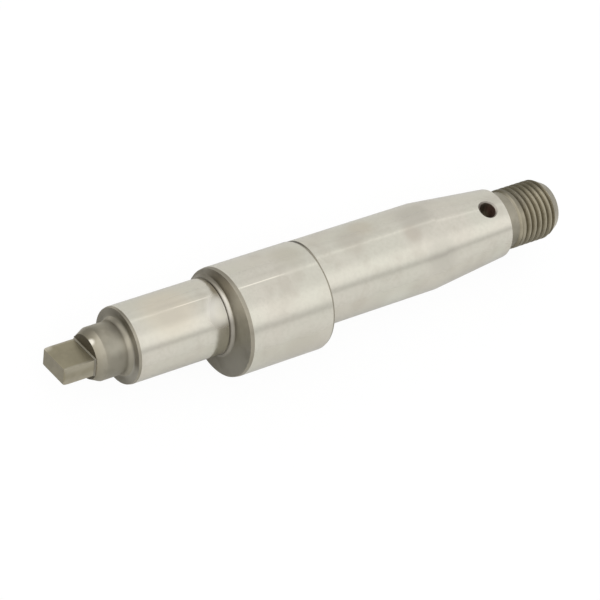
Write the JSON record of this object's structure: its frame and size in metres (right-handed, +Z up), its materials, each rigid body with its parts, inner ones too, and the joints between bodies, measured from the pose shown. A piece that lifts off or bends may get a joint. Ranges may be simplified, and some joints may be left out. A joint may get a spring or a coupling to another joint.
{
  "type": "injection pump shaft",
  "caption": "Turned steel pump drive shaft with an eccentric collar, two ground journals, a tapered seat with a pin hole, a threaded end and a flat drive tang.",
  "frame": {"origin": "on the shaft's axis at the taper's large end, where the taper's size is taken", "axes": "+X along the shaft's axis from the drive tang towards the thread; +Z up as the shaft lies at rest on its rear journal and its collar"},
  "size_m": [0.131, 0.0242, 0.0242],
  "materials": {
    "ground_steel": "ground bright on the journals, the collar and the taper, dark as turned on the tang, the stub, the end faces and the thread"
  },
  "bodies": {
    "root": {"pump_shaft": "ground_steel"}
  },
  "joints": []
}
